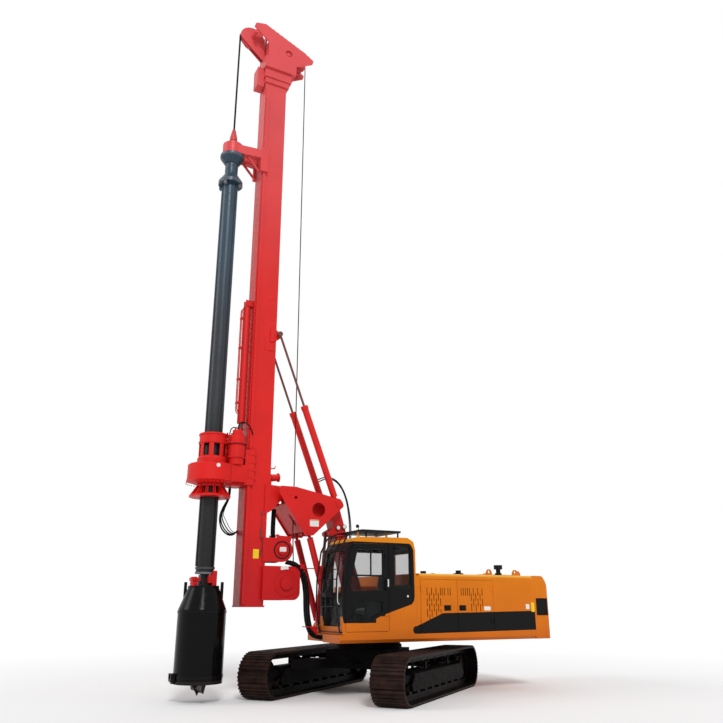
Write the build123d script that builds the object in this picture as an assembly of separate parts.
"""Rotary piling rig on crawler tracks, in millimetres.

X points forward, Y to the machine's left and Z up. The origin is the slewing axis at ground level.
The upper structure faces +X, and the undercarriage stands turned under it by TRACK_YAW.
"""
import os
from math import cos, hypot, pi, radians, sin

from build123d import *

os.makedirs("parts", exist_ok=True)

# Clearances
SEAT = 0.3  # between pieces that rest on or turn in each other
RUN = 6  # beside pieces that move past each other

# Undercarriage, in its own axes before it is turned
TRACK_YAW = 38
GAUGE = 2750
SHOE_WIDTH = 650
TRACK_AXLES = 3950
TRACK_HEIGHT = 860
SHOE_COUNT = 51
PLATE_THICKNESS = 25
GROUSER_HEIGHT = 25
SHOE_BREAK = 8  # metal left between two shoes
RAIL_HEIGHT = 105
RAIL_INNER = 35  # rails lie between these two distances from the track's middle
RAIL_OUTER = 95
ROLLER_RADIUS = 95
LOWER_ROLLERS = 8
ROLLER_SPREAD = TRACK_AXLES - 950
TOP_ROLLER_RADIUS = 60
TOP_ROLLER_PLACE = 700
SPROCKET_TEETH = 21
TOOTH_DEPTH = 55
CHEEK_INNER = 175  # side frame cheeks, from the track's middle
CHEEK_THICKNESS = 30
CARBODY_BOTTOM = 500
LEG_TOP = 680
CARBODY_TOP = 880
SLEW_RING_RADIUS = 670
DECK_BOTTOM = 1030
TOW_BORE = 35
TOW_PLACE = 830  # the tow eyes' bores, from the middle
TOW_HEIGHT = (600, 640)

# Upper structure
DECK_FRONT = 1380
NOSE_FRONT = 1240  # the deck between cab and housing
HOUSING_FRONT = 360
HOOD_REAR = -3400
TAIL = -3870
HALF_WIDTH = 1420
DECK_TOP = 1180
HOOD_TOP = 2345
HOOD_FRONT = -430
HOOD_WALL = 45
PANEL = 40
HOOD_ROUNDING = 90
BOOM_HALF = 165
CAB_INNER = 430  # the cab's side towards the boom
CAB_WALL = 55
CAB_ROOF = 3040
HOUSING_INNER = -430  # the right housing's side towards the boom

# Front linkage, places in X and Z
BOOM_FOOT = (374, 1907)
BOOM_HEAD = (947, 3779)
LINK_HEAD = (1608, 3172)
LINK_FOOT = (LINK_HEAD[0] + BOOM_FOOT[0] - BOOM_HEAD[0], LINK_HEAD[1] + BOOM_FOOT[1] - BOOM_HEAD[1])
LUFF_BASE = (1150, 1290)
LUFF_HEAD = (1002, 3189)
RAKE_PIVOT = (2098, 3967)
TILT_HEIGHT = 3850
BRACKET_HALF = 455
BRACKET_PLATE = 30
LINK_PLACE = 330  # the two link arms, from the middle
LINK_RADIUS = 65
LUFF_PLACE = 110
CYLINDER_PLACE = 325  # the two mast cylinders, from the middle
CYLINDER_HEAD = (2400, 7450)
CYLINDER_RADIUS = 72
CYLINDER_BARREL = 2250
CYLINDER_ROD = 26

# Mast
MAST_REAR = 2440
MAST_FRONT = 2990
MAST_HALF = 200
MAST_FOOT = 1700
MAST_STEP = 3630
MAST_TOP = 14150
RAIL = (2900, 2960)  # guide rails on both sides of the mast, in X
RAIL_PROUD = 45
HEAD_HALF = 330
HEAD_PLATE = 30
FRONT_SHEAVE = (3340, 15480)
SHEAVE_RADIUS = 320
REAR_SHEAVE = (2070, 15190)
REAR_SHEAVE_RADIUS = 210
AUX_SHEAVE_PLACE = -170  # the auxiliary rope's sheaves, on Y
AUX_SHEAVE_RADIUS = 180
MAIN_WINCH = (2060, 2145)
MAIN_FLANGE = 290
MAIN_COVER = 328
MAIN_HALF = 275
WINCH_PLATE = 25
ROPE_SLOT = (160, 250)  # where the winch rope passes the bracket's front web
AUX_WINCH = (2140, 2795)
AUX_FLANGE = 215
AUX_COVER = 238
AUX_HALF = 205
CROWD_X = 3090
CROWD_RADIUS = 85
CROWD_BORE = 70
CROWD_BARREL = (5400, 8070)
CROWD_ROD = 45

# Kelly bar and rotary head, on one axis
KELLY_X = 3660
OUTER_RADIUS = 177.5
OUTER_BORE = 155
SECOND_RADIUS = 148
SECOND_BORE = 128
THIRD_RADIUS = 122
THIRD_BORE = 104
CORE_RADIUS = 98
KELLY_BOTTOM = 2300
KELLY_TOP = 11200
RIB = 20
NECK_RADIUS = 150
NECK_BORE = 92
KELLY_FLANGE = 280
SWIVEL_RADIUS = 80
GUIDE = (11850, 12150)
GUIDE_JOURNAL = 100  # the kelly's journal in the guide
GUIDE_BORE = 100.5
STUB_HALF = 95  # the square stub that carries the bucket
SWIVEL_TOP = 12600
SLEEVE_BORE = 208
SLEEVE_RADIUS = 250
SKIRT = (3790, 4040)
SKIRT_RADIUS = 415
SKIRT_RING = 270
GEARBOX = (4100, 4450)
GEARBOX_RADIUS = 480
CAGE_RADIUS = 285
CAGE_FOOT = 305
CAGE_WALL = 28
CAGE_WINDOWS = (4613, 4871)
CAGE_TOP = 5095
CARRIAGE = (4060, 4790)
CASING_CIRCLE = 385
CASING_BOLT = 13
CASING_BOLTS = 12

# Drilling bucket
BUCKET_RADIUS = 460
BUCKET_WALL = 20
BUCKET_BOTTOM = 400
BUCKET_SHOULDER = 1640
BUCKET_TOP = 2080
CONE_TOP = 300
VENT_PLACE = (315, 168)  # the two vent tubes, from the axis
TOOTH_TIP = 180
PILOT_TIP = 112


def block(x, y, z):
    """A box between a low and a high place on each axis."""
    size = Box(x[1] - x[0], y[1] - y[0], z[1] - z[0], align=(Align.MIN,) * 3)
    return Pos(x[0], y[0], z[0]) * size


def outline(points, radius=0):
    """A face with the given corners, rounded where radius says."""
    if radius:
        return make_face(FilletPolyline(*points, radius=radius, close=True))
    return make_face(Polyline(*points, close=True))


def side_form(points, y, radius=0):
    """A form whose outline is seen from the side, between two places on Y."""
    plane = Plane((0, y[0], 0), x_dir=(1, 0, 0), z_dir=(0, -1, 0))
    return extrude(plane * outline(points, radius), amount=y[1] - y[0], dir=(0, 1, 0))


def front_form(points, x, radius=0):
    """A form whose outline is seen from the front, between two places on X."""
    plane = Plane((x[0], 0, 0), x_dir=(0, 1, 0), z_dir=(1, 0, 0))
    return extrude(plane * outline(points, radius), amount=x[1] - x[0], dir=(1, 0, 0))


def plan_form(points, z, radius=0):
    """A form whose outline is seen from above, between two heights."""
    return extrude(Pos(0, 0, z[0]) * outline(points, radius), amount=z[1] - z[0], dir=(0, 0, 1))


def rod(start, end, radius):
    """A round bar between two places."""
    start, end = Vector(*start), Vector(*end)
    plane = Plane(origin=start, z_dir=end - start)
    return plane * Cylinder(radius, (end - start).length, align=(Align.CENTER, Align.CENTER, Align.MIN))


def tube(start, end, radius, bore):
    """A round tube between two places."""
    return rod(start, end, radius) - rod(start, end, bore)


def cross_bar(place, radius, y):
    """A round bar along Y at a place in X and Z."""
    return rod((place[0], y[0], place[1]), (place[0], y[1], place[1]), radius)


def upright(x, y, radius, z):
    """A round bar along Z."""
    return rod((x, y, z[0]), (x, y, z[1]), radius)


def bent_bar(points, y, radius, bend):
    """A round bar that follows places in X and Z, bent at each corner."""
    line = Plane((0, y, 0), x_dir=(1, 0, 0), z_dir=(0, -1, 0)) * FilletPolyline(*points, radius=bend)
    start, second = points[0], points[1]
    section = Plane((start[0], y, start[1]), z_dir=(second[0] - start[0], 0, second[1] - start[1]))
    return sweep(section * Circle(radius), path=line)


def tapered_plate(first, first_radius, second, second_radius, y):
    """A plate with two round ends, each at a place in X and Z, joined by straight flanks."""
    dx, dz = second[0] - first[0], second[1] - first[1]
    length = hypot(dx, dz)
    nx, nz = -dz / length, dx / length
    corners = [
        (first[0] + nx * first_radius, first[1] + nz * first_radius),
        (second[0] + nx * second_radius, second[1] + nz * second_radius),
        (second[0] - nx * second_radius, second[1] - nz * second_radius),
        (first[0] - nx * first_radius, first[1] - nz * first_radius),
    ]
    ends = cross_bar(first, first_radius, y) + cross_bar(second, second_radius, y)
    return side_form(corners, y) + ends


def spread(low, high, side):
    """A span on Y between two distances from the middle, on the left (1) or right (-1)."""
    return (low, high) if side > 0 else (-high, -low)


def save(name, shape):
    """Write one piece to its own file."""
    export_step(shape, f"parts/{name}.step")


def turned(shape):
    """Turn a piece of the undercarriage under the upper structure."""
    return Rot(0, 0, TRACK_YAW) * shape


# Undercarriage
SHOE_LINE = TRACK_HEIGHT / 2 - PLATE_THICKNESS - GROUSER_HEIGHT
RAIL_LINE = SHOE_LINE - RAIL_HEIGHT
AXLE_HEIGHT = TRACK_HEIGHT / 2


def loop_point(along, height):
    """A place on the track's loop, by its distance along the shoes' inner line and its height over it."""
    half, reach, arc = TRACK_AXLES / 2, SHOE_LINE + height, pi * SHOE_LINE
    if along < TRACK_AXLES:
        return along - half, AXLE_HEIGHT - reach
    along -= TRACK_AXLES
    if along < arc:
        angle = along / SHOE_LINE - pi / 2
        return half + reach * cos(angle), AXLE_HEIGHT + reach * sin(angle)
    along -= arc
    if along < TRACK_AXLES:
        return half - along, AXLE_HEIGHT + reach
    angle = (along - TRACK_AXLES) / SHOE_LINE + pi / 2
    return -half + reach * cos(angle), AXLE_HEIGHT + reach * sin(angle)


def shoe_outline():
    """The loop's outside with every shoe's plate and its three bars."""
    plate, tip = PLATE_THICKNESS, PLATE_THICKNESS + GROUSER_HEIGHT
    # share of the pitch, height over the shoes' inner line
    shoe = [
        (0.00, SHOE_BREAK), (0.12, plate), (0.15, tip), (0.21, tip), (0.25, plate), (0.42, plate),
        (0.46, tip), (0.54, tip), (0.58, plate), (0.75, plate), (0.79, tip), (0.86, tip),
    ]
    pitch = (2 * TRACK_AXLES + 2 * pi * SHOE_LINE) / SHOE_COUNT
    return [loop_point((count + share) * pitch, height) for count in range(SHOE_COUNT)
            for share, height in shoe]


def slot_form(radius, y):
    """The track's long round outline at a radius round its axles."""
    plane = Plane((0, y[0], AXLE_HEIGHT), x_dir=(1, 0, 0), z_dir=(0, -1, 0))
    return extrude(plane * SlotCenterToCenter(TRACK_AXLES, 2 * radius), amount=y[1] - y[0], dir=(0, 1, 0))


def track(middle):
    """One crawler chain as a fixed loop: shoes outside, two rails inside."""
    width = (middle - SHOE_WIDTH / 2, middle + SHOE_WIDTH / 2)
    loop = side_form(shoe_outline(), width) - slot_form(SHOE_LINE, width)
    for side in (-1, 1):
        low, high = spread(RAIL_INNER, RAIL_OUTER, side)
        span = (middle + low, middle + high)
        loop += slot_form(SHOE_LINE + 1, span) - slot_form(RAIL_LINE, span)
    return loop


def sprocket(middle, inward):
    """The toothed drive wheel with its hub."""
    root, tip = RAIL_LINE + 10, RAIL_LINE + TOOTH_DEPTH
    step = 2 * pi / SPROCKET_TEETH
    # share of a tooth's turn, radius
    tooth = [(0.0, root), (0.22, root), (0.40, tip), (0.60, tip), (0.78, root)]
    place = (-TRACK_AXLES / 2, AXLE_HEIGHT)
    turns = [((count + share) * step, radius) for count in range(SPROCKET_TEETH) for share, radius in tooth]
    rim = [(place[0] + radius * cos(angle), place[1] + radius * sin(angle)) for angle, radius in turns]
    hub = sorted((middle - inward * 60, middle + inward * (30 - SEAT)))
    return side_form(rim, (middle - 25, middle + 25)) + cross_bar(place, 170, hub)


def running_gear(middle):
    """Sprocket, idler and rollers of one track."""
    inward = -1 if middle > 0 else 1
    idler = (TRACK_AXLES / 2, AXLE_HEIGHT)
    gear = sprocket(middle, inward)
    gear += cross_bar(idler, RAIL_LINE - SEAT, (middle - 100, middle + 100))
    gear += cross_bar(idler, RAIL_LINE + TOOTH_DEPTH, (middle - 25, middle + 25))
    gear += cross_bar(idler, 45, (middle - 110 + SEAT, middle + 110 - SEAT))
    low = TRACK_HEIGHT / 2 - RAIL_LINE + ROLLER_RADIUS + SEAT
    for count in range(LOWER_ROLLERS):
        place = (ROLLER_SPREAD * (count / (LOWER_ROLLERS - 1) - 0.5), low)
        gear += cross_bar(place, ROLLER_RADIUS, (middle - 120, middle + 120))
        gear += cross_bar(place, 35, (middle - CHEEK_INNER + SEAT, middle + CHEEK_INNER - SEAT))
    high = AXLE_HEIGHT + RAIL_LINE - TOP_ROLLER_RADIUS - SEAT
    for x in (-TOP_ROLLER_PLACE, TOP_ROLLER_PLACE):
        gear += cross_bar((x, high), TOP_ROLLER_RADIUS, (middle - 100, middle + 100))
        gear += cross_bar((x, high), 30, (middle - 120 + SEAT, middle + 120 - SEAT))
    return gear


def side_frame(middle):
    """The beam inside one track, with its roller cheeks, idler fork and travel motor drum."""
    inward = -1 if middle > 0 else 1
    outer = CHEEK_INNER + CHEEK_THICKNESS
    axle = TRACK_AXLES / 2
    beam = axle - 475
    section = [
        (middle - outer, 400), (middle + outer, 400), (middle + outer, 520),
        (middle + 110, 570), (middle - 110, 570), (middle - outer, 520),
    ]
    frame = front_form(section, (-beam, beam))
    cheek = [(-beam - 140, 330), (-beam - 80, 225), (beam + 80, 225), (beam + 140, 330), (beam, 470),
             (-beam, 470)]
    for side in (-1, 1):
        low, high = spread(CHEEK_INNER, outer, side)
        frame += side_form(cheek, (middle + low, middle + high))
        low, high = spread(110, 140, side)
        fork = [(beam - 50, 405), (axle - 75, 350), (axle + 75, 350), (axle + 75, 510), (axle - 75, 510),
                (beam - 50, 500)]
        frame += side_form(fork, (middle + low, middle + high), 20)
        low, high = spread(120, 150, side)
        for x in (-TOP_ROLLER_PLACE, TOP_ROLLER_PLACE):
            frame += block((x - 45, x + 45), (middle + low, middle + high), (560, 690))
    drum = sorted((middle + inward * 30, middle + inward * 260))
    frame += cross_bar((-axle, AXLE_HEIGHT), 210, drum)
    arm = sorted((middle + inward * CHEEK_INNER, middle + inward * outer))
    frame += block((-axle, 50 - beam), arm, (330, 530))
    return frame


CENTRE_REACH = 720  # half the length of the middle frame's box


def carbody():
    """The middle frame: centre box, four legs to the side frames and slewing pedestal."""
    reach = GAUGE / 2 - CHEEK_INNER - CHEEK_THICKNESS
    legs = [
        (250, -600), (750, -reach), (1250, -reach), (720, -450),
        (720, 450), (1250, reach), (750, reach), (250, 600),
    ]
    leg = plan_form(legs, (CARBODY_BOTTOM, LEG_TOP))
    body = leg + mirror(leg, Plane.YZ)
    body += block((-CENTRE_REACH, CENTRE_REACH), (-650, 650), (CARBODY_BOTTOM, CARBODY_TOP - 20))
    return body + upright(0, 0, 700, (CARBODY_TOP - 30, 945))


def tow_eyes():
    """A flat towing plate at each end of the middle frame, with an upright bore for a shackle's pin."""
    plates = []
    for side in (-1, 1):
        corners = [(CENTRE_REACH + SEAT, -150), (TOW_PLACE + 20, -90), (TOW_PLACE + 90, -45),
                   (TOW_PLACE + 90, 45), (TOW_PLACE + 20, 90), (CENTRE_REACH + SEAT, 150)]
        plate = plan_form([(side * x, y) for x, y in corners], TOW_HEIGHT)
        plates.append(plate - upright(side * TOW_PLACE, 0, TOW_BORE, (TOW_HEIGHT[0] - 5, TOW_HEIGHT[1] + 5)))
    return Part() + plates


def slew_ring():
    """The slewing bearing, fixed on the pedestal."""
    ring = upright(0, 0, SLEW_RING_RADIUS, (945, DECK_BOTTOM - SEAT))
    return ring - upright(0, 0, SLEW_RING_RADIUS - 130, (940, DECK_BOTTOM))


def undercarriage():
    """All pieces below the slewing bearing."""
    for name, side in (("left", 1), ("right", -1)):
        middle = side * GAUGE / 2
        save(f"track_{name}", turned(track(middle)))
        save(f"running_gear_{name}", turned(running_gear(middle)))
        save(f"side_frame_{name}", turned(side_frame(middle)))
    save("carbody", turned(carbody()))
    save("tow_eyes", turned(tow_eyes()))
    save("slew_ring", slew_ring())


# Upper structure
def deck():
    """The revolving frame with the boom foot plates, link lugs and luffing cylinder lugs."""
    bevel = 60
    section = [
        (-HALF_WIDTH + bevel, DECK_BOTTOM), (HALF_WIDTH - bevel, DECK_BOTTOM),
        (HALF_WIDTH, DECK_BOTTOM + bevel), (HALF_WIDTH, DECK_TOP), (-HALF_WIDTH, DECK_TOP),
        (-HALF_WIDTH, DECK_BOTTOM + bevel),
    ]
    nose = LINK_PLACE + 75
    plan = [
        (HOOD_REAR + 2, -HALF_WIDTH), (HOUSING_FRONT + 20, -HALF_WIDTH), (820, -nose), (NOSE_FRONT, -nose),
        (NOSE_FRONT, nose), (DECK_FRONT, 640), (DECK_FRONT, HALF_WIDTH), (HOOD_REAR + 2, HALF_WIDTH),
    ]
    frame = front_form(section, (HOOD_REAR + 2, DECK_FRONT))
    frame &= plan_form(plan, (DECK_BOTTOM - 5, DECK_TOP + 5))
    foot_x, foot_z = BOOM_FOOT
    plate = [
        (foot_x - 620, DECK_TOP - 5), (foot_x - 120, foot_z + 60), (foot_x - 60, foot_z + 130),
        (foot_x + 60, foot_z + 130), (foot_x + 130, foot_z + 40), (foot_x + 520, DECK_TOP - 5),
    ]
    inner = BOOM_HALF + 15
    for side in (-1, 1):
        frame += side_form(plate, spread(inner, inner + 35, side))
        for low in (LINK_PLACE - 65, LINK_PLACE + 40):
            lug = [(LINK_FOOT[0] - 170, DECK_TOP - 5), (LINK_FOOT[0] - 80, LINK_FOOT[1] + 45),
                   (LINK_FOOT[0] + 80, LINK_FOOT[1] + 45), (LINK_FOOT[0] + 170, DECK_TOP - 5)]
            frame += side_form(lug, spread(low, low + 25, side))
            frame += cross_bar(LINK_FOOT, 92, spread(low, low + 25, side))
        frame += cross_bar(LINK_FOOT, 50, spread(LINK_PLACE - 65, LINK_PLACE + 65, side))
        for low in (LUFF_PLACE - 58, LUFF_PLACE + 33):
            lug = [(LUFF_BASE[0] - 150, DECK_TOP - 5), (LUFF_BASE[0] - 60, LUFF_BASE[1] + 60),
                   (LUFF_BASE[0] + 60, LUFF_BASE[1] + 60), (LUFF_BASE[0] + 150, DECK_TOP - 5)]
            frame += side_form(lug, spread(low, low + 25, side))
        frame += cross_bar(LUFF_BASE, 40, spread(LUFF_PLACE - 50, LUFF_PLACE + 50, side))
    frame += cross_bar(BOOM_FOOT, 60, (-inner - 50, inner + 50))
    return frame


CAB_Y = (CAB_INNER, HALF_WIDTH)
CAB_SIDE = [
    (1330, DECK_TOP), (1352, 1900), (1235, 2800), (1130, 2960), (960, 3020), (-150, CAB_ROOF),
    (-290, 2960), (-330, 2800), (-330, DECK_TOP),
]
DOOR_SIDE = [(1268, 1230), (1290, 1900), (1180, 2780), (1090, 2890), (305, 2905), (305, 1230)]
DOOR_WINDOW = [(1200, 1975), (1010, 2775), (440, 2785), (440, 2010)]
DOOR_LOW_WINDOW = [(1060, 1770), (450, 1800), (450, 1600), (740, 1450), (1215, 1460)]
REAR_WINDOW = [(190, 2860), (-180, 2850), (-215, 2700), (-215, 2120), (-170, 2020), (190, 2050)]


def front_wall_x(z):
    """The place of the cab's front face at a height."""
    knee = CAB_SIDE[1]
    (x_low, z_low), (x_high, z_high) = (knee, CAB_SIDE[2]) if z > knee[1] else (CAB_SIDE[0], knee)
    return x_low + (x_high - x_low) * (z - z_low) / (z_high - z_low)


# name, lowest and highest place on Y, lowest and highest place on Z
WINDSHIELDS = [("upper", 520, 1330, 1960, 2740), ("lower", 520, 1330, 1330, 1880)]
CAB_REAR_GLASS = ((620, 1230), (2120, 2740))
CAB_RIGHT_GLASS = ((-150, 1080), (1960, 2780))
CAB_ROOF_GLASS = ((280, 880), (640, 1220))


ROOF_SEAM = 2925


def cab_shell():
    """The hollow cab with its window and door openings, in two pieces: the walls and the roof."""
    inner = offset(outline(CAB_SIDE), -CAB_WALL)
    plane = Plane((0, CAB_Y[0] + CAB_WALL, 0), x_dir=(1, 0, 0), z_dir=(0, -1, 0))
    room = extrude(plane * inner, amount=CAB_Y[1] - CAB_Y[0] - 2 * CAB_WALL, dir=(0, 1, 0))
    shell = side_form(CAB_SIDE, CAB_Y, 25) - room
    side_wall = (CAB_Y[1] - CAB_WALL - 10, CAB_Y[1] + 10)
    shell -= side_form(DOOR_SIDE, side_wall, 30)
    shell -= side_form(REAR_WINDOW, side_wall)
    for _, low, high, bottom, top in WINDSHIELDS:
        shell -= block((1120, 1400), (low, high), (bottom, top))
    (y, z) = CAB_REAR_GLASS
    shell -= block((-340, -260), y, z)
    (x, z) = CAB_RIGHT_GLASS
    shell -= block(x, (CAB_Y[0] - 10, CAB_Y[0] + CAB_WALL + 10), z)
    (x, y) = CAB_ROOF_GLASS
    shell -= block(x, y, (2940, 3080))
    span = (CAB_Y[0] - 10, CAB_Y[1] + 10)
    walls = shell & block((-400, 1500), span, (DECK_TOP - 10, ROOF_SEAM))
    return walls, shell & block((-400, 1500), span, (ROOF_SEAM + SEAT, CAB_ROOF + 20))


def cab_glass():
    """The fixed panes, each in the middle of its wall."""
    panes = []
    for _, low, high, bottom, top in WINDSHIELDS:
        pane = [(front_wall_x(bottom) - 34, bottom), (front_wall_x(bottom) - 26, bottom),
                (front_wall_x(top) - 26, top), (front_wall_x(top) - 34, top)]
        panes.append(side_form(pane, (low, high)))
    panes.append(side_form(REAR_WINDOW, (CAB_Y[1] - 34, CAB_Y[1] - 26)))
    (y, z) = CAB_REAR_GLASS
    panes.append(block((-306, -298), y, z))
    (x, z) = CAB_RIGHT_GLASS
    panes.append(block(x, (CAB_Y[0] + 26, CAB_Y[0] + 34), z))
    (x, y) = CAB_ROOF_GLASS
    panes.append(block(x, y, (2990, 2998)))
    return Part() + panes


def cab_door():
    """The door as one leaf, its two windows cut, with hinge knuckles and a handle."""
    leaf_y = (CAB_Y[1] - CAB_WALL + 2, CAB_Y[1] - 2)
    leaf = side_form([(x - 8 if x > 700 else x + 8, z + 8 if z < 1500 else z - 8) for x, z in DOOR_SIDE],
                     leaf_y, 25)
    leaf -= side_form(DOOR_WINDOW, (CAB_Y[1] - 80, CAB_Y[1] + 20), 40)
    leaf -= side_form(DOOR_LOW_WINDOW, (CAB_Y[1] - 80, CAB_Y[1] + 20), 40)
    for z in (1500, 2600):
        leaf += upright(305, CAB_Y[1] + 14, 13, (z, z + 110))
        leaf += block((305, 400), (CAB_Y[1] - 4, CAB_Y[1] + 10), (z + 10, z + 100))
    for z in (2000, 2175):
        leaf += block((365, 385), (CAB_Y[1] - 4, CAB_Y[1] + 45), (z, z + 25))
    return leaf + block((365, 385), (CAB_Y[1] + 33, CAB_Y[1] + 45), (2000, 2200))


def door_glass():
    """The two panes of the door."""
    span = (CAB_Y[1] - 32, CAB_Y[1] - 25)
    return side_form(DOOR_WINDOW, span, 40) + side_form(DOOR_LOW_WINDOW, span, 40)


# the guard's side rail, in X and Z from its foot before the windshield to the roof plate
GUARD_RAIL = [
    (1375, 1230), (1455, 1700), (1450, 2200), (1370, 2760), (1230, 3030), (1000, 3142), (860, 3150),
]
GUARD_POSTS = (60, 800)


def cab_guard():
    """The falling-object guard over the roof and the bars before the windshield."""
    sides = (CAB_Y[0] + 40, CAB_Y[1] - 40)
    feet = Part()
    for y in sides:
        feet += block((1325, 1385), (y - 20, y + 20), (1215, 1245))
        for x in GUARD_POSTS:
            feet += upright(x, y, 18, (CAB_ROOF - 40, 3140))
    guard = feet - side_form(CAB_SIDE, CAB_Y) + block((0, 900), (sides[0] - 20, sides[1] + 20), (3130, 3170))
    for y in sides:
        guard += bent_bar(GUARD_RAIL, y, 16, 90)
    half_bar = 9
    for x, z in GUARD_RAIL[:-1]:
        guard += block((x - half_bar, x + half_bar), sides, (z - half_bar, z + half_bar))
    line = GUARD_RAIL[1:5]
    strip = [(x - half_bar, z) for x, z in line] + [(x + half_bar, z) for x, z in reversed(line)]
    for count in range(1, 4):
        y = sides[0] + count * (sides[1] - sides[0]) / 4
        guard += side_form(strip, (y - half_bar, y + half_bar))
    return guard


def operator_seat():
    """The seat on its base, with the two side consoles."""
    middle = (CAB_Y[0] + CAB_Y[1]) / 2
    floor = DECK_TOP + CAB_WALL
    seat = block((180, 560), (middle - 200, middle + 200), (floor, floor + 300))
    cushion = block((120, 640), (middle - 250, middle + 250), (floor + 300, floor + 420))
    back = [(120, floor + 400), (240, floor + 400), (130, floor + 1080), (20, floor + 1080)]
    seat += fillet(cushion.edges(), 35)
    seat += side_form(back, (middle - 240, middle + 240), 30)
    for side in (-1, 1):
        y = spread(270, 380, side)
        seat += block((60, 740), (middle + y[0], middle + y[1]), (floor, floor + 560))
        lever = middle + (y[0] + y[1]) / 2
        seat += rod((680, lever, floor + 540), (700, lever, floor + 740), 14)
        seat += Pos(700, lever, floor + 745) * Sphere(32)
    for y in (middle - 90, middle + 90):
        seat += rod((1000, y, floor), (1080, y, floor + 190), 14)
        seat += block((1020, 1130), (y - 45, y + 45), (floor + 180, floor + 200))
    return seat - block((900, 1200), (middle - 200, middle + 200), (floor - 50, floor))


# louvres: lowest X, highest X and columns of the staggered block, and the single slots beside it
FRONT_LOUVRES = ((-922, -593, 7), (-966, -1022, -1111, -1167))
REAR_LOUVRES = ((-1984, -1699, 6), (-1445, -1499, -1553, -1607, -1657))
# body of the engine hood: side doors as name, side, low X, high X, hinge at the high end, louvres
SIDE_DOORS = [
    ("left_front_door", 1, -1338, -447, True, FRONT_LOUVRES),
    ("left_rear_door", 1, -2270, -1350, False, REAR_LOUVRES),
    ("right_front_door", -1, -1338, -447, True, FRONT_LOUVRES),
    ("right_rear_door", -1, -2270, -1350, False, REAR_LOUVRES),
]
SLOT_TOP = 2065
SLOT_HEIGHT = 155
SLOT_STEP = 209
SLOT_HALF = 9
SLOT_FLOOR = (1345, 1600)  # the slots stay above a line that rises from the cab to this height
LATCH_Z = (1612, 1722)
LATCH_HALF = 88
DOOR_Z = (1215, 2225)
LID_X = (-3280, -2380)
LID_HALF = 900


LUG_BORE = 30


def lifting_lug(x, y):
    """A plate on the hood's top for a shackle, its bore left to the caller."""
    corners = [
        (x - 75, HOOD_TOP - 5), (x - 75, HOOD_TOP + 70), (x - 35, HOOD_TOP + 130),
        (x + 35, HOOD_TOP + 130), (x + 75, HOOD_TOP + 70), (x + 75, HOOD_TOP - 5),
    ]
    return side_form(corners, y)


def engine_housing():
    """The hood: a hollow shell with its side door and lid openings."""
    hood = block((HOOD_REAR, HOOD_FRONT), (-HALF_WIDTH, HALF_WIDTH), (DECK_TOP, HOOD_TOP))
    long_edges = [e for e in hood.edges().filter_by(Axis.X) if e.center().Z > HOOD_TOP - 1]
    hood = fillet(long_edges, HOOD_ROUNDING)
    hood -= block((HOOD_REAR + HOOD_WALL, HOOD_FRONT - HOOD_WALL),
                  (-HALF_WIDTH + HOOD_WALL, HALF_WIDTH - HOOD_WALL), (DECK_TOP - 1, HOOD_TOP - HOOD_WALL))
    for _, side, low, high, _, _ in SIDE_DOORS:
        hood -= block((low - 5, high + 5), spread(HALF_WIDTH - HOOD_WALL - 5, HALF_WIDTH + 5, side),
                      (DOOR_Z[0] - 5, DOOR_Z[1] + 5))
    opening = (40 - LID_HALF, LID_HALF - 40)
    hood -= block((LID_X[0] + 40, LID_X[1] - 40), opening, (HOOD_TOP - 60, HOOD_TOP + 5))
    for x in (-2423, -3150):
        for side in (-1, 1):
            hood += lifting_lug(x, spread(1105, 1135, side))
            hood -= cross_bar((x, HOOD_TOP + 75), LUG_BORE, spread(1100, 1140, side))
    return hood


def louvre_slots(louvres, outer):
    """Staggered upright slots through a door, with single slots beside their top row."""
    (low, high, columns), singles = louvres
    places = [(x, SLOT_TOP) for x in singles]
    for column in range(columns):
        x = low + (high - low) * column / (columns - 1)
        drop = SLOT_STEP / 2 if column % 2 else 0
        places += [(x, SLOT_TOP - drop - row * SLOT_STEP) for row in range(3)]
    slots = []
    for x, top in places:
        floor = min(SLOT_FLOOR[1], SLOT_FLOOR[0] + (HOOD_FRONT - x) * 0.45)
        bottom = max(top - SLOT_HEIGHT, floor)
        if top - bottom > 60:
            slots.append(block((x - SLOT_HALF, x + SLOT_HALF), outer, (bottom, top)))
    return slots


def latch_pocket(door, middle, side):
    """Give a door the recessed pocket of its latch, with the paddle inside."""
    low, high = LATCH_Z
    back = spread(HALF_WIDTH - 36, HALF_WIDTH, side)
    door += block((middle - LATCH_HALF - 10, middle + LATCH_HALF + 10), back, (low - 10, high + 10))
    opening = spread(HALF_WIDTH - 28, HALF_WIDTH + 5, side)
    door -= block((middle - LATCH_HALF, middle + LATCH_HALF), opening, LATCH_Z)
    paddle = spread(HALF_WIDTH - 30, HALF_WIDTH - 8, side)
    return door + block((middle - 50, middle + 50), paddle, (low + 28, high - 18))


def side_door(side, low, high, hinge_high, louvres):
    """One side door: a leaf with louvres, a latch pocket and hinge knuckles."""
    span = spread(HALF_WIDTH - PANEL, HALF_WIDTH, side)
    door = block((low, high), span, DOOR_Z)
    door -= block((low + 40, high - 40), spread(HALF_WIDTH - PANEL - 1, HALF_WIDTH - 12, side),
                  (DOOR_Z[0] + 40, DOOR_Z[1] - 40))
    door -= louvre_slots(louvres, spread(HALF_WIDTH - 13, HALF_WIDTH + 1, side))
    hinge = high if hinge_high else low
    outwards = 1 if hinge_high else -1
    for z in (DOOR_Z[0] + 130, DOOR_Z[1] - 230):
        door += upright(hinge + outwards * 6, side * (HALF_WIDTH + 12), 12 - SEAT, (z, z + 100))
        leaf = sorted((hinge, hinge - outwards * 70))
        door += block(leaf, spread(HALF_WIDTH - 4, HALF_WIDTH + 8, side), (z + 5, z + 95))
    return latch_pocket(door, low + 248 if hinge_high else high - 120, side)


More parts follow.
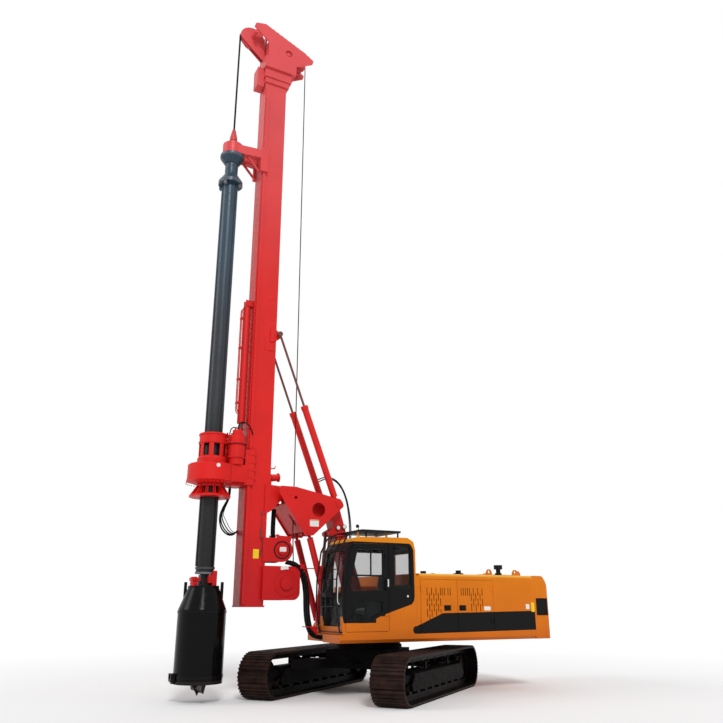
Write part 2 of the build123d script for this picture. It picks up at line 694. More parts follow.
def engine_lid():
    """The lid over the engine, hinged at its front edge, with its pressed rim."""
    lid = block(LID_X, (-LID_HALF, LID_HALF), (HOOD_TOP, HOOD_TOP + 35))
    lid = fillet([e for e in lid.edges() if e.center().Z > HOOD_TOP + 30], 15)
    for side in (-1, 1):
        y = spread(500, 620, side)
        lid += rod((LID_X[1] + 8, y[0], HOOD_TOP + 16), (LID_X[1] + 8, y[1], HOOD_TOP + 16), 14)
    return lid


def engine_block():
    """The engine as one heavy mass on its mounts."""
    engine = block((-3000, -1700), (-450, 450), (DECK_TOP + 120, 2150))
    for x in (-2850, -1850):
        for side in (-1, 1):
            engine += block((x - 60, x + 60), spread(330, 450, side), (DECK_TOP, DECK_TOP + 130))
    return engine


def roof_fittings():
    """Pre-cleaner, exhaust stub and filler cap on the hood."""
    top = HOOD_TOP
    parts = upright(-2780, 1000, 75, (top, top + 60)) + upright(-2780, 1000, 50, (top + 50, top + 150))
    parts += upright(-2780, 1000, 95, (top + 140, top + 230))
    parts += upright(-1900, 700, 110, (top, top + 50)) + upright(-1900, 700, 60, (top + 40, top + 110))
    parts += tube((-2000, -900, top), (-2000, -900, top + 160), 70, 62)
    parts += upright(-2000, -900, 90, (top, top + 40))
    return parts


TANK_TOP = 2120
STEP_TOP = 1500


def right_housing():
    """Fuel and oil tank housing beside the boom, with steps at its front."""
    step = HOUSING_FRONT - 220
    profile = [
        (HOOD_FRONT, DECK_TOP), (HOUSING_FRONT, DECK_TOP), (HOUSING_FRONT, STEP_TOP), (step, STEP_TOP),
        (step, TANK_TOP), (HOOD_FRONT, TANK_TOP),
    ]
    box = side_form(profile, (-HALF_WIDTH, HOUSING_INNER))
    for x in (step - 130, HOOD_FRONT + 140):
        box += upright(x, -1150, 60, (TANK_TOP, TANK_TOP + 45))
    top = TANK_TOP + 400
    rail = [
        (HOUSING_FRONT - 30, STEP_TOP - 30), (HOUSING_FRONT - 30, TANK_TOP - 70), (HOUSING_FRONT - 140, top),
        (HOOD_FRONT + 50, top), (HOOD_FRONT + 50, TANK_TOP - 30),
    ]
    y = -HALF_WIDTH + 40
    box += bent_bar(rail, y, 17, 120)
    return box + upright((step + HOOD_FRONT) / 2, y, 15, (TANK_TOP - 10, top))


def counterweight():
    """The cast tail weight with rounded rear corners and a pocket on each side."""
    side = [
        (TAIL, DECK_BOTTOM), (HOOD_REAR, DECK_BOTTOM), (HOOD_REAR, HOOD_TOP),
        (TAIL + 190, HOOD_TOP), (TAIL + 60, 2150), (TAIL + 10, 1880),
    ]
    plan = [(TAIL, -HALF_WIDTH + 10), (HOOD_REAR, -HALF_WIDTH + 10), (HOOD_REAR, HALF_WIDTH - 10),
            (TAIL, HALF_WIDTH - 10)]
    weight = side_form(side, (-HALF_WIDTH + 10, HALF_WIDTH - 10), [20, 0, 0, 90, 120, 60])
    weight = weight & plan_form(plan, (DECK_BOTTOM - 5, HOOD_TOP + 5), [140, 0, 0, 140])
    for side in (-1, 1):
        weight -= block((TAIL + 60, TAIL + 330), spread(HALF_WIDTH - 60, HALF_WIDTH + 5, side), (1500, 1870))
        weight += lifting_lug(TAIL + 230, spread(605, 635, side))
        weight -= cross_bar((TAIL + 230, HOOD_TOP + 75), LUG_BORE, spread(600, 640, side))
    return weight


def upper_structure():
    """Everything that slews, without the front linkage."""
    save("deck", deck())
    walls, roof = cab_shell()
    save("cab_shell", walls)
    save("cab_roof", roof)
    save("cab_glass", cab_glass())
    save("cab_guard", cab_guard())
    save("cab_door", cab_door())
    save("door_glass", door_glass())
    save("operator_seat", operator_seat())
    save("engine_housing", engine_housing())
    save("engine_block", engine_block())
    save("roof_fittings", roof_fittings())
    save("right_housing", right_housing())
    save("counterweight", counterweight())
    save("engine_lid", engine_lid())
    for name, side, low, high, hinge_high, louvres in SIDE_DOORS:
        save(name, side_door(side, low, high, hinge_high, louvres))


# Front linkage
def along(start, end, distance):
    """The place at a distance from the first place towards the second, in X and Z."""
    length = hypot(end[0] - start[0], end[1] - start[1])
    share = distance / length
    return start[0] + (end[0] - start[0]) * share, start[1] + (end[1] - start[1]) * share


def at(place, y):
    """A place in X and Z as a point in space."""
    return place[0], y, place[1]


def boom():
    """The boom: a box beam with a boss at each end and lugs for the luffing cylinders."""
    beam = tapered_plate(BOOM_FOOT, 150, BOOM_HEAD, 120, (-BOOM_HALF, BOOM_HALF))
    lug_root = along(BOOM_FOOT, BOOM_HEAD, 1400)
    for low in (LUFF_PLACE - 58, LUFF_PLACE + 33):
        for side in (-1, 1):
            y = spread(low, low + 25, side)
            beam += tapered_plate(lug_root, 120, LUFF_HEAD, 60, y)
    beam -= cross_bar(BOOM_FOOT, 60.5, (-400, 400))
    beam -= cross_bar(BOOM_HEAD, 60.5, (-400, 400))
    return beam


def link_arms():
    """The two tubes that run beside the boom and keep the bracket level."""
    arms = []
    for side in (-1, 1):
        y = side * LINK_PLACE
        low, high = along(LINK_FOOT, LINK_HEAD, 125), along(LINK_HEAD, LINK_FOOT, 125)
        arm = rod(at(low, y), at(high, y), LINK_RADIUS) + rod(at(LINK_FOOT, y), at(LINK_HEAD, y), 34)
        for place in (LINK_FOOT, LINK_HEAD):
            arm += cross_bar(place, 88, (y - 35, y + 35))
            arm -= cross_bar(place, 50.5, (y - 50, y + 50))
        arms.append(arm)
    return Part() + arms


def cylinder_barrel(base, head, y, radius, bore, length, eye_half, pin, neck):
    """A hydraulic barrel from its base pin towards its head, closed at the base, with a gland."""
    start, end = along(base, head, neck), along(base, head, length)
    inner = along(base, head, neck + 60)
    gland = along(base, head, length - 60)
    barrel = rod(at(start, y), at(end, y), radius) - rod(at(inner, y), at(gland, y), bore)
    barrel += cross_bar(base, radius * 1.25, (y - eye_half, y + eye_half))
    barrel += rod(at(along(base, head, 5), y), at(along(base, head, neck + 10), y), eye_half - 1)
    barrel += rod(at(along(base, head, length - 90), y), at(end, y), radius * 1.12) - rod(
        at(along(base, head, length - 95), y), at(end, y), bore)
    return barrel - cross_bar(base, pin, (y - eye_half - 5, y + eye_half + 5))


def cylinder_rod(base, head, y, radius, bore, inside, eye_half, eye_radius, pin_half):
    """A chromed rod with its piston in the barrel, its eye and the eye's pin."""
    start = along(base, head, inside)
    piece = rod(at(start, y), at(head, y), radius)
    piece += rod(at(start, y), at(along(base, head, inside + 120), y), bore - SEAT)
    piece += cross_bar(head, eye_radius, (y - eye_half, y + eye_half))
    return piece + cross_bar(head, eye_radius * 0.55, (y - pin_half, y + pin_half))


LUFF_BARREL = 1230
LUFF_BORE = 45
CYLINDER_BORE = 56


def gland_bored(barrel, base, head, y, length, rod_radius):
    """Open the barrel's end for its rod."""
    start, end = along(base, head, length - 70), along(base, head, length + 5)
    return barrel - rod(at(start, y), at(end, y), rod_radius + 0.5)


def luff_cylinders():
    """Barrels and rods of the two luffing cylinders."""
    barrels, rods = [], []
    for side in (-1, 1):
        y = side * LUFF_PLACE
        barrel = cylinder_barrel(LUFF_BASE, LUFF_HEAD, y, 60, LUFF_BORE, LUFF_BARREL, 30, 40.5, 105)
        barrels.append(gland_bored(barrel, LUFF_BASE, LUFF_HEAD, y, LUFF_BARREL, 32))
        rods.append(cylinder_rod(LUFF_BASE, LUFF_HEAD, y, 32, LUFF_BORE, 900, 30, 52, 33 - SEAT))
    return Part() + barrels, Part() + rods


def mast_cylinders():
    """Barrels and rods of the two mast cylinders."""
    barrels, rods = [], []
    foot, head, length = BOOM_HEAD, CYLINDER_HEAD, CYLINDER_BARREL
    for side in (-1, 1):
        y = side * CYLINDER_PLACE
        barrel = cylinder_barrel(foot, head, y, CYLINDER_RADIUS, CYLINDER_BORE, length, 40, 45.5, 165)
        barrels.append(gland_bored(barrel, foot, head, y, length, CYLINDER_ROD))
        rods.append(cylinder_rod(foot, head, y, CYLINDER_ROD, CYLINDER_BORE, length - 240, 35, 58, 35))
        pin = spread(CYLINDER_PLACE - 85 + SEAT, CYLINDER_PLACE, side)
        rods[-1] += cross_bar(CYLINDER_HEAD, 32, pin)
    return Part() + barrels, Part() + rods


BRACKET_SIDE = [
    (RAKE_PIVOT[0] + 240, RAKE_PIVOT[1] - 30), (RAKE_PIVOT[0] + 235, RAKE_PIVOT[1] + 105),
    (RAKE_PIVOT[0] - 140, RAKE_PIVOT[1] + 105), (BOOM_HEAD[0] - 30, BOOM_HEAD[1] + 100),
    (BOOM_HEAD[0] - 115, BOOM_HEAD[1] - 40), (LINK_HEAD[0] - 60, LINK_HEAD[1] - 80),
    (LINK_HEAD[0] + 120, LINK_HEAD[1] - 75),
]
BIG_HOLE = (1430, 3625)
SMALL_HOLE = (1960, 3850)


def bracket():
    """The triangular bracket between boom, links and mast, with the tilt bearing in its middle."""
    outer = (BRACKET_HALF - BRACKET_PLATE, BRACKET_HALF)
    front = [(2151, 3725), (2135, 3737), (1725, 3183), (1741, 3171)]
    body = side_form(front, (-outer[0] - 5, outer[0] + 5)) - block((1820, 2000), ROPE_SLOT, (3300, 3600))
    for side in (-1, 1):
        plate = side_form(BRACKET_SIDE, spread(*outer, side), 60)
        plate -= cross_bar(BIG_HOLE, 150, spread(outer[0] - 5, outer[1] + 5, side))
        plate -= cross_bar(SMALL_HOLE, 36, spread(outer[0] - 5, outer[1] + 5, side))
        body += plate
        inner = [
            (1790, TILT_HEIGHT + 100), (1500, TILT_HEIGHT + 100), (BOOM_HEAD[0] - 40, BOOM_HEAD[1] + 100),
            (BOOM_HEAD[0] - 110, BOOM_HEAD[1] - 40), (BOOM_HEAD[0] + 40, BOOM_HEAD[1] - 110),
            (LINK_HEAD[0] - 80, LINK_HEAD[1] - 80), (LINK_HEAD[0] + 80, LINK_HEAD[1] - 80),
            (1790, TILT_HEIGHT - 200),
        ]
        body += side_form(inner, spread(BOOM_HALF + RUN, BOOM_HALF + RUN + 20, side))
    body += tube((1500, 0, TILT_HEIGHT), (1790, 0, TILT_HEIGHT), 110, 80)
    reach = BOOM_HALF + RUN + 5
    for x in (1500, 1760):
        web = block((x, x + 30), (-reach, reach), (TILT_HEIGHT - 190, TILT_HEIGHT + 95))
        body += web - rod((x - 5, 0, TILT_HEIGHT), (x + 35, 0, TILT_HEIGHT), 95)
    body += cross_bar(LINK_HEAD, 50, (-BRACKET_HALF, BRACKET_HALF))
    body += cross_bar(BOOM_HEAD, 60, (-BOOM_HALF - RUN - 20, BOOM_HALF + RUN + 20))
    for side in (-1, 1):
        body += cross_bar(LINK_HEAD, 85, spread(BRACKET_HALF - 35, BRACKET_HALF + 12, side))
        body += cross_bar(BOOM_HEAD, 80, spread(BRACKET_HALF - 35, BRACKET_HALF + 12, side))
        body += cross_bar(RAKE_PIVOT, 75, spread(BRACKET_HALF - 30, BRACKET_HALF + 10, side))
    body += cross_bar((1700, 3380), 45, (-BRACKET_HALF + 5, BRACKET_HALF - 5))
    return body


def tilt_saddle():
    """The swinging saddle: tilt shaft, rake pin and the arms that carry the mast cylinders' feet."""
    front = RAKE_PIVOT[0] - 180
    saddle = rod((1480, 0, TILT_HEIGHT), (front, 0, TILT_HEIGHT), 80 - SEAT)
    saddle += rod((1465, 0, TILT_HEIGHT), (1480 + 10, 0, TILT_HEIGHT), 100)
    saddle += block((1830, front + 60), (-140, 140), (TILT_HEIGHT - 130, RAKE_PIVOT[1] + 90))
    for side in (-1, 1):
        saddle += tapered_plate((front, RAKE_PIVOT[1] - 30), 110, RAKE_PIVOT, 110, spread(100, 160, side))
        arm_y = spread(242, 267, side)
        saddle += tapered_plate(BOOM_HEAD, 85, RAKE_PIVOT, 100, arm_y)
        saddle += cross_bar(BOOM_HEAD, 45, spread(242, 372, side))
    saddle += cross_bar(RAKE_PIVOT, 60, (-267, 267))
    return saddle


def linkage():
    """Boom, links, bracket, saddle and their cylinders."""
    save("boom", boom())
    save("link_arms", link_arms())
    luff_barrels, luff_rods = luff_cylinders()
    save("luff_barrels", luff_barrels)
    save("luff_rods", luff_rods)
    save("bracket", bracket())
    save("tilt_saddle", tilt_saddle())
    mast_barrels, mast_rods = mast_cylinders()
    save("mast_cylinder_barrels", mast_barrels)
    save("mast_cylinder_rods", mast_rods)


# Mast
def mast():
    """The box mast with guide rails, pivot ears, cylinder ears and crowd cylinder lugs."""
    column = block((MAST_REAR, MAST_FRONT), (-MAST_HALF, MAST_HALF), (MAST_STEP, MAST_TOP))
    column += block((MAST_REAR + 50, MAST_FRONT), (-MAST_HALF, MAST_HALF), (MAST_FOOT, MAST_STEP))
    foot = MAST_HALF + 15
    column += block((MAST_REAR + 30, MAST_FRONT + 8), (-foot, foot), (MAST_FOOT - 15, MAST_FOOT + 15))
    pivot_x, pivot_z = RAKE_PIVOT
    ear = [
        (MAST_REAR + 120, pivot_z + 170), (MAST_REAR - 20, pivot_z + 140), (pivot_x - 60, pivot_z + 115),
        (pivot_x - 130, pivot_z), (pivot_x - 60, pivot_z - 115), (pivot_x + 60, pivot_z - 125),
        (MAST_REAR - 20, pivot_z - 400), (MAST_REAR + 120, pivot_z - 480),
    ]
    for side in (-1, 1):
        rail = spread(MAST_HALF - 5, MAST_HALF + RAIL_PROUD, side)
        column += block(RAIL, rail, (MAST_FOOT + 40, MAST_TOP - 200))
        column += side_form(ear, spread(MAST_HALF - 2, MAST_HALF + 32, side), 20)
        head_x, head_z = CYLINDER_HEAD
        plate = [
            (MAST_REAR + 150, head_z + 160), (MAST_REAR + 5, head_z + 110), (head_x - 60, head_z + 50),
            (head_x - 60, head_z - 50), (MAST_REAR + 5, head_z - 140), (MAST_REAR + 150, head_z - 190),
        ]
        column += side_form(plate, spread(MAST_HALF - 2, MAST_HALF + 40, side), 20)
        lug = (CROWD_BARREL[1] + 20, CROWD_BARREL[1] + 160)
        column += block((MAST_FRONT - 5, CROWD_X + 55), spread(48, 78, side), lug)
    column -= cross_bar(RAKE_PIVOT, 60.5, (-MAST_HALF - 60, MAST_HALF + 60))
    column += cross_bar((CROWD_X, CROWD_BARREL[1] + 95), 30, (-70, 70))
    collar = (-MAST_HALF - 40, MAST_HALF + 40)
    return column + block((MAST_REAR - 60, MAST_FRONT + 20), collar, (MAST_TOP - 20, MAST_TOP + 130))


HEAD_SIDE = [
    (2960, 14830), (3000, 15290), (3400, 15610), (3360, 15730), (3110, 15795),
    (2020, 15330), (1760, 15170), (1790, 15060), (2180, 14830),
]
NOSE_SIDE = [
    (3020, 14845), (3600, 15345), (3665, 15415), (3655, 15520), (3560, 15640), (3440, 15740), (3100, 15740),
    (2980, 14845),
]
NOSE_PLATE = (48, 64)  # the two plates beside the front sheave


def mast_head():
    """The head: two side plates on a stepped collar, a front block and cross plates."""
    low, high = MAST_TOP + 130, 14850
    head = block((2330, 3030), (-HEAD_HALF + 60, HEAD_HALF - 60), (low, low + 250))
    head += block((2230, 3060), (-HEAD_HALF, HEAD_HALF), (low + 250, high))
    head += block((2990, 3190), (-150, 150), (MAST_TOP - 120, MAST_TOP + 420)) - block(
        (2900, 3011), (-300, 300), (MAST_TOP - 130, MAST_TOP + 130))
    for side in (-1, 1):
        plate = side_form(HEAD_SIDE, spread(HEAD_HALF - HEAD_PLATE, HEAD_HALF, side), 25)
        plate -= cross_bar((2450, 15130), 95, spread(HEAD_HALF - HEAD_PLATE - 5, HEAD_HALF + 5, side))
        head += plate
        head += side_form(NOSE_SIDE, spread(*NOSE_PLATE, side))
    for place in (FRONT_SHEAVE, REAR_SHEAVE):
        head += cross_bar(place, 45, (-HEAD_HALF, HEAD_HALF))
    web = block((2960, 2990), (-HEAD_HALF, HEAD_HALF), (high - 5, 15700))
    head += web - block((2950, 3000), (NOSE_PLATE[1], HEAD_HALF - HEAD_PLATE), (15350, 15710))
    return head


def sheave(place, radius, y):
    """One rope sheave with its groove, hub and thin web."""
    rim = radius - 50
    # radius, distance from the sheave's middle plane
    half = [
        (45.5, 42), (80, 42), (80, 12), (rim, 12), (rim, 28), (radius, 28), (radius - 25, 6),
    ]
    section = half + [(reach, -depth) for reach, depth in reversed(half)]
    wheel = revolve(Plane.XY * outline(section), Axis.Y)
    return Pos(place[0], y, place[1]) * wheel


def sheave_pair(place, radius):
    """The main sheave in the middle and the auxiliary sheave to the right of it."""
    return sheave(place, radius, 0) + sheave(place, AUX_SHEAVE_RADIUS, AUX_SHEAVE_PLACE)


def winch_cover(place, half, corners, radii, hub):
    """Both side covers of a winch, each with its hub."""
    covers = []
    for side in (-1, 1):
        covers.append(side_form(corners, spread(half, half + WINCH_PLATE, side), radii))
        covers.append(cross_bar(place, hub, spread(half - 20, half + WINCH_PLATE + 50, side)))
    return covers


def winch_frames():
    """The covers of both winches beside the mast, on blocks at its sides."""
    back = MAST_REAR + 120
    (x, z), reach = MAIN_WINCH, MAIN_COVER
    main = [(back, z - reach), (x - reach + 20, z - reach), (x - reach + 20, z + reach), (back, z + reach)]
    frames = winch_cover(MAIN_WINCH, MAIN_HALF, main, [0, 150, 150, 0], 130)
    (x, z), reach = AUX_WINCH, AUX_COVER
    aux = [(back, z - reach), (x - reach, z - reach), (x - reach, z + reach), (back, z + reach)]
    frames += winch_cover(AUX_WINCH, AUX_HALF, aux, [0, reach - 1, reach - 1, 0], 95)
    for z, reach, half in ((MAIN_WINCH[1], MAIN_COVER, MAIN_HALF), (AUX_WINCH[1], AUX_COVER, AUX_HALF)):
        height = (z - reach + 40, z + reach - 40)
        for side in (-1, 1):
            frames.append(block((MAST_REAR + 60, back), spread(MAST_HALF, half + 5, side), height))
    return Part() + frames


def drum(place, flange, core, half):
    """A rope drum between its two flanges."""
    piece = cross_bar(place, core, (-half, half))
    for side in (-1, 1):
        piece += cross_bar(place, flange, spread(half - 18, half, side))
    return piece


def crowd_barrel():
    """The crowd cylinder's barrel on the mast's front face, hung from its eye."""
    low, high = CROWD_BARREL
    barrel = upright(CROWD_X, 0, CROWD_RADIUS, (low, high))
    barrel -= upright(CROWD_X, 0, CROWD_BORE, (low + 70, high - 30))
    barrel -= upright(CROWD_X, 0, CROWD_ROD + 0.5, (low - 5, low + 80))
    eye = block((CROWD_X - 45, CROWD_X + 45), (-48 + SEAT, 48 - SEAT), (high - 5, high + 95))
    eye += cross_bar((CROWD_X, high + 95), 45, (-48 + SEAT, 48 - SEAT))
    return barrel + eye - cross_bar((CROWD_X, high + 95), 30.5, (-80, 80))


def crowd_rod():
    """The crowd cylinder's rod with piston and lower eye."""
    low = CARRIAGE[1] + 330
    piece = upright(CROWD_X, 0, CROWD_ROD, (low, CROWD_BARREL[1] - 50))
    piece += upright(CROWD_X, 0, CROWD_BORE - SEAT, (CROWD_BARREL[1] - 190, CROWD_BARREL[1] - 50))
    piece += cross_bar((CROWD_X, low), 60, (-48 + SEAT, 48 - SEAT))
    return piece - cross_bar((CROWD_X, low), 30.5, (-80, 80))


def mast_group():
    """Mast, head, sheaves, winches and crowd cylinder."""
    save("mast", mast())
    save("mast_head", mast_head())
    save("front_sheaves", sheave_pair(FRONT_SHEAVE, SHEAVE_RADIUS))
    save("rear_sheaves", sheave_pair(REAR_SHEAVE, REAR_SHEAVE_RADIUS))
    save("winch_frames", winch_frames())
    save("main_drum", drum(MAIN_WINCH, MAIN_FLANGE, 200, MAIN_HALF - 20 - SEAT))
    save("aux_drum", drum(AUX_WINCH, AUX_FLANGE, 145, AUX_HALF - 20 - SEAT))
    save("crowd_barrel", crowd_barrel())
    save("crowd_rod", crowd_rod())


# Rotary head, kelly bar and bucket
def kelly_round(radius, z, bore=0):
    """A round solid or ring on the kelly axis."""
    piece = upright(KELLY_X, 0, radius, z)
    return piece - upright(KELLY_X, 0, bore, (z[0] - 5, z[1] + 5)) if bore else piece


def turned_form(profile):
    """A ring turned round the kelly axis from corners given as radius and height."""
    face = Plane.XZ * outline(profile)
    return Pos(KELLY_X, 0, 0) * revolve(face, Axis.Z)


def rail_room(side, z):
    """The space that a mast rail takes, for shoes to slide round it."""
    return block((RAIL[0] - 0.5, RAIL[1] + 0.5), spread(MAST_HALF, MAST_HALF + RAIL_PROUD + 0.5, side), z)


def carriage():
    """The sledge that carries the rotary head on the mast's rails."""
    low, high = CARRIAGE
    front = MAST_FRONT + 12
    half = MAST_HALF + RAIL_PROUD + 35
    body = block((front, front + 40), (-half, half), (low, high))
    for side in (-1, 1):
        body += block((RAIL[0] - 60, front + 40), spread(half - 30, half, side), (low + 30, high))
        for count in range(4):
            z = low + 150 + count * 170
            body += block((RAIL[0] - 100, RAIL[0] - 50), spread(half - 30, half, side), (z, z + 22))
        for z in (low, high - 190):
            shoe = block((RAIL[0] - 50, front + 5), spread(MAST_HALF + RUN, half - 5, side), (z, z + 190))
            body += shoe - rail_room(side, (z - 5, z + 195))
        body += block((front + 35, CROWD_X + 55), spread(48, 78, side), (high - 60, high + 380))
        body += block((front + 5, CROWD_X + 55), spread(48, 90, side), (high - 70, high - 5))
    eye = CARRIAGE[1] + 330
    return body + cross_bar((CROWD_X, eye), 30, (-70, 70))


def gearbox():
    """The rotary drive's gearbox round the sleeve, joined to the carriage."""
    low, high = GEARBOX
    front = MAST_FRONT + 52
    lip, bore = GEARBOX_RADIUS + 12, SLEEVE_RADIUS + SEAT
    case = turned_form([
        (bore, low - 50), (SLEEVE_RADIUS + 80, low - 50), (GEARBOX_RADIUS - 8, low), (lip, low),
        (lip, low + 35), (GEARBOX_RADIUS, low + 35), (GEARBOX_RADIUS, high - 20),
        (GEARBOX_RADIUS - 25, high), (GEARBOX_RADIUS - 130, high), (GEARBOX_RADIUS - 150, high + 25),
        (bore, high + 25),
    ])
    case += block((front, KELLY_X), (-360, 360), (low, high))
    case += block((front, KELLY_X), (-372, 372), (low, low + 35))
    case += block((front, front + 330), (-200, 200), (low - 60, low + 5))
    return case - kelly_round(bore, (low - 60, high + 40))


MOTOR_PLACE = (3235, 270)


def drive_motors():
    """The two hydraulic motors with their planetary stages on the gearbox."""
    low = GEARBOX[1]
    # radius, height over the gearbox
    profile = [
        (0, 0), (150, 0), (150, 90), (168, 170), (168, 380), (158, 390), (158, 400), (170, 410),
        (170, 450), (160, 460), (160, 600), (105, 610), (105, 720), (0, 720),
    ]
    motor = revolve(Plane.XZ * outline([(radius, low + height) for radius, height in profile]), Axis.Z)
    motor += block((-60, 60), (-140, -60), (low + 640, low + 740))
    x, y = MOTOR_PLACE
    return Part() + [Pos(x, side * y, 0) * motor for side in (-1, 1)]


def window_ring(radius, bore, z, count, width, first=0):
    """Cutters for windows round a ring, the first one turned by an angle."""
    cutters = []
    for turn in range(count):
        cutter = Pos(KELLY_X, 0, 0) * Rot(0, 0, first + 360 / count * turn) * block(
            (bore, radius), (-width / 2, width / 2), z)
        cutters.append(cutter)
    return cutters


def skirt_ribs():
    """The three-cornered ribs round the skirt, between the casing bolts."""
    low, neck = SKIRT
    corners = [(SKIRT_RING - 5, neck), (SKIRT_RADIUS - 4, low + 34), (SKIRT_RING - 5, low + 34)]
    rib = side_form(corners, (-8, 8))
    step = 360 / CASING_BOLTS
    return [Pos(KELLY_X, 0, 0) * Rot(0, 0, step * turn) * rib for turn in range(CASING_BOLTS)]


def drive_sleeve():
    """The turning sleeve with the shock cage above and the casing drive skirt below."""
    low, neck = SKIRT
    foot = GEARBOX[1] + 32
    sleeve = turned_form([
        (SLEEVE_BORE, low), (SKIRT_RADIUS, low), (SKIRT_RADIUS, low + 35), (SKIRT_RING, low + 35),
        (SKIRT_RING, neck), (SLEEVE_RADIUS, neck), (SLEEVE_RADIUS, foot), (CAGE_FOOT, foot),
        (CAGE_FOOT, foot + 90),
        (CAGE_RADIUS, foot + 115), (CAGE_RADIUS, CAGE_TOP), (CAGE_RADIUS - CAGE_WALL, CAGE_TOP),
        (CAGE_RADIUS - CAGE_WALL, foot + 30), (SLEEVE_BORE, foot + 30),
    ])
    step = 360 / CASING_BOLTS
    openings = (low + 65, neck - 40)
    sleeve -= window_ring(SKIRT_RING + 5, SLEEVE_BORE - 10, openings, CASING_BOLTS, 85, step / 2)
    sleeve -= window_ring(CAGE_RADIUS + 5, SLEEVE_BORE, CAGE_WINDOWS, 8, 130)
    for z in (CAGE_WINDOWS[1] + 15, CAGE_TOP - 40):
        sleeve += kelly_round(CAGE_RADIUS + 14, (z, z + 30), CAGE_RADIUS - 20)
    sleeve += skirt_ribs()
    for count in range(CASING_BOLTS):
        angle = radians(step * (count + 0.5))
        x, y = KELLY_X + CASING_CIRCLE * cos(angle), CASING_CIRCLE * sin(angle)
        sleeve -= upright(x, y, CASING_BOLT, (low - 5, low + 45))
    return sleeve


def kelly_guide():
    """The guide that holds the kelly's head on the mast's rails."""
    low, high = GUIDE
    guide = kelly_round(235, (low, high), GUIDE_BORE)
    front = MAST_FRONT + 12
    half = MAST_HALF + RAIL_PROUD + 40
    for side in (-1, 1):
        arm = [(front, 130), (KELLY_X - 120, 100), (KELLY_X - 60, 225), (front, half)]
        arm = [(x, side * y) for x, y in arm]
        guide += plan_form(arm, (low + 20, high - 60))
        shoe = block((RAIL[0] - 45, front + 40), spread(MAST_HALF + RUN, half, side), (low - 330, high))
        guide += shoe - rail_room(side, (low - 340, high + 10))
        strut = [
            (front + 10, low - 320), (front + 60, low - 320), (KELLY_X - 280, low + 30),
            (KELLY_X - 340, low + 30),
        ]
        guide += side_form(strut, spread(150, 200, side))
    return guide - kelly_round(GUIDE_BORE, (low - 5, high + 5))


def kelly_outer():
    """The outer kelly tube with its drive ribs, stop flanges and journal."""
    tube_part = kelly_round(OUTER_RADIUS, (KELLY_BOTTOM, KELLY_TOP), OUTER_BORE)
    for turn in range(3):
        height = (KELLY_BOTTOM + 150, KELLY_TOP - 10)
        rib = Rot(0, 0, 120 * turn) * block((OUTER_RADIUS - 4, OUTER_RADIUS + RIB), (-20, 20), height)
        tube_part += Pos(KELLY_X, 0, 0) * rib
    for z in (KELLY_BOTTOM, KELLY_BOTTOM + 90):
        tube_part += kelly_round(OUTER_RADIUS + 15, (z, z + 40), OUTER_BORE)
    tube_part += turned_form([
        (OUTER_RADIUS - 2, KELLY_TOP - 140), (KELLY_FLANGE, KELLY_TOP - 140), (KELLY_FLANGE, KELLY_TOP - 60),
        (NECK_RADIUS, KELLY_TOP + 140), (NECK_BORE, KELLY_TOP + 140), (NECK_BORE, KELLY_TOP - 5),
        (OUTER_RADIUS - 2, KELLY_TOP - 5),
    ])
    for turn in range(4):
        lug = Rot(0, 0, 45 + 90 * turn) * block((OUTER_RADIUS + RIB + 20, KELLY_FLANGE - 5), (-35, 35),
                                                (KELLY_TOP - 215, KELLY_TOP - 138))
        tube_part += Pos(KELLY_X, 0, 0) * lug
    top = GUIDE[0] - SEAT
    tube_part += kelly_round(NECK_RADIUS, (KELLY_TOP + 135, top - 225), NECK_BORE)
    tube_part += turned_form([
        (NECK_BORE, top - 230), (NECK_RADIUS + 15, top - 230), (KELLY_FLANGE, top - 60), (KELLY_FLANGE, top),
        (NECK_BORE, top),
    ])
    return tube_part + kelly_round(GUIDE_JOURNAL, (top - 10, GUIDE[1] + 30), NECK_BORE)


def kelly_section(radius, bore, outer_bore):
    """One inner tube with the collar that slides in the tube around it."""
    piece = kelly_round(radius, (KELLY_BOTTOM + 40, KELLY_TOP - 60), bore)
    return piece + kelly_round(outer_bore - SEAT, (KELLY_TOP - 260, KELLY_TOP - 60), bore)


def kelly_core():
    """The inner bar with the rope swivel above and the square stub below."""
    core = kelly_round(CORE_RADIUS, (KELLY_BOTTOM - 20, KELLY_TOP - 60))
    core += kelly_round(THIRD_BORE - SEAT, (KELLY_TOP - 260, KELLY_TOP - 60))
    core += kelly_round(SWIVEL_RADIUS, (KELLY_TOP - 65, GUIDE[1] + 150))
    low, reach = GUIDE[1] + 145, SWIVEL_RADIUS + 10
    core += turned_form([(0, low), (reach, low), (reach, low + 75), (40, SWIVEL_TOP), (0, SWIVEL_TOP)])
    span = (-STUB_HALF, STUB_HALF)
    return core + Pos(KELLY_X, 0, 0) * block(span, span, (BUCKET_TOP - 230, KELLY_BOTTOM - 15))


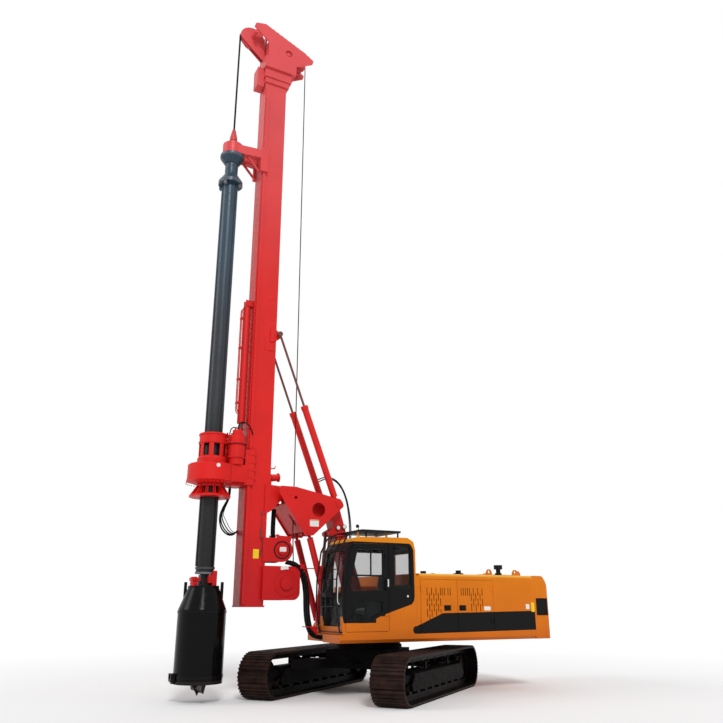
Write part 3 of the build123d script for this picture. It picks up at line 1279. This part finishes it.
def drilling_bucket():
    """The bucket's hollow body with its cone, kelly box and side strips."""
    inner = BUCKET_RADIUS - BUCKET_WALL
    profile = [
        (inner, BUCKET_BOTTOM), (BUCKET_RADIUS, BUCKET_BOTTOM), (BUCKET_RADIUS, BUCKET_SHOULDER),
        (CONE_TOP, BUCKET_TOP - 40), (CONE_TOP, BUCKET_TOP), (0, BUCKET_TOP), (0, BUCKET_SHOULDER - 20),
        (inner, BUCKET_SHOULDER - 20),
    ]
    body = turned_form(profile)
    span = (-STUB_HALF - SEAT, STUB_HALF + SEAT)
    body -= Pos(KELLY_X, 0, 0) * block(span, span, (BUCKET_TOP - 230 - SEAT, BUCKET_TOP + 5))
    body += kelly_round(BUCKET_RADIUS + 8, (BUCKET_SHOULDER - 60, BUCKET_SHOULDER - 20), inner)
    body += kelly_round(BUCKET_RADIUS + 8, (BUCKET_BOTTOM + 30, BUCKET_BOTTOM + 90), inner)
    hinge_x = KELLY_X + BUCKET_RADIUS + 45
    for side in (-1, 1):
        lug = (BUCKET_BOTTOM, BUCKET_BOTTOM + 120)
        body += block((KELLY_X + BUCKET_RADIUS - 15, hinge_x + 30), spread(60, 90, side), lug)
        body += cross_bar((hinge_x, BUCKET_BOTTOM), 30, spread(60, 90, side))
        x, y = KELLY_X + side * VENT_PLACE[0], -side * VENT_PLACE[1]
        body += upright(x, y, 30, (BUCKET_TOP - 240, BUCKET_TOP + 70))
    return body + cross_bar((hinge_x, BUCKET_BOTTOM), 15, (-90, 90))


def bucket_gate():
    """The bottom gate with cutting teeth round it and the pilot in the middle."""
    top = BUCKET_BOTTOM - RUN
    gate = kelly_round(BUCKET_RADIUS - 2, (top - 60, top))
    hinge_x = KELLY_X + BUCKET_RADIUS + 45
    gate += block((KELLY_X + BUCKET_RADIUS - 60, hinge_x), (-54, 54), (top - 50, top - 5))
    gate += cross_bar((hinge_x, BUCKET_BOTTOM), 34, (-54, 54))
    gate -= cross_bar((hinge_x, BUCKET_BOTTOM), 15.5, (-60, 60))
    for side in (-1, 1):
        for count in range(4):
            reach = side * (110 + count * 95)
            tooth = [(-40, 0), (40, 0), (55, -90), (0, TOOTH_TIP - top + 60)]
            tooth = [(KELLY_X + side * x, top - 60 + 5 + z) for x, z in tooth]
            gate += side_form(tooth, (reach - 26, reach + 26))
    gate += turned_form([(0, top - 50), (60, top - 50), (40, top - 190), (0, PILOT_TIP)])
    fin = [(-90, top - 50), (90, top - 50), (90, top - 120), (0, PILOT_TIP + 15), (-90, top - 120)]
    for turn in (45, -45):
        gate += Pos(KELLY_X, 0, 0) * Rot(0, 0, turn) * side_form(fin, (-12, 12))
    return gate


def drill_group():
    """Rotary head, kelly bar and bucket."""
    save("carriage", carriage())
    save("gearbox", gearbox())
    save("drive_motors", drive_motors())
    save("drive_sleeve", drive_sleeve())
    save("kelly_guide", kelly_guide())
    save("kelly_outer", kelly_outer())
    save("kelly_second", kelly_section(SECOND_RADIUS, SECOND_BORE, OUTER_BORE))
    save("kelly_third", kelly_section(THIRD_RADIUS, THIRD_BORE, SECOND_BORE))
    save("kelly_core", kelly_core())
    save("drilling_bucket", drilling_bucket())
    save("bucket_gate", bucket_gate())


undercarriage()
upper_structure()
linkage()
mast_group()
drill_group()
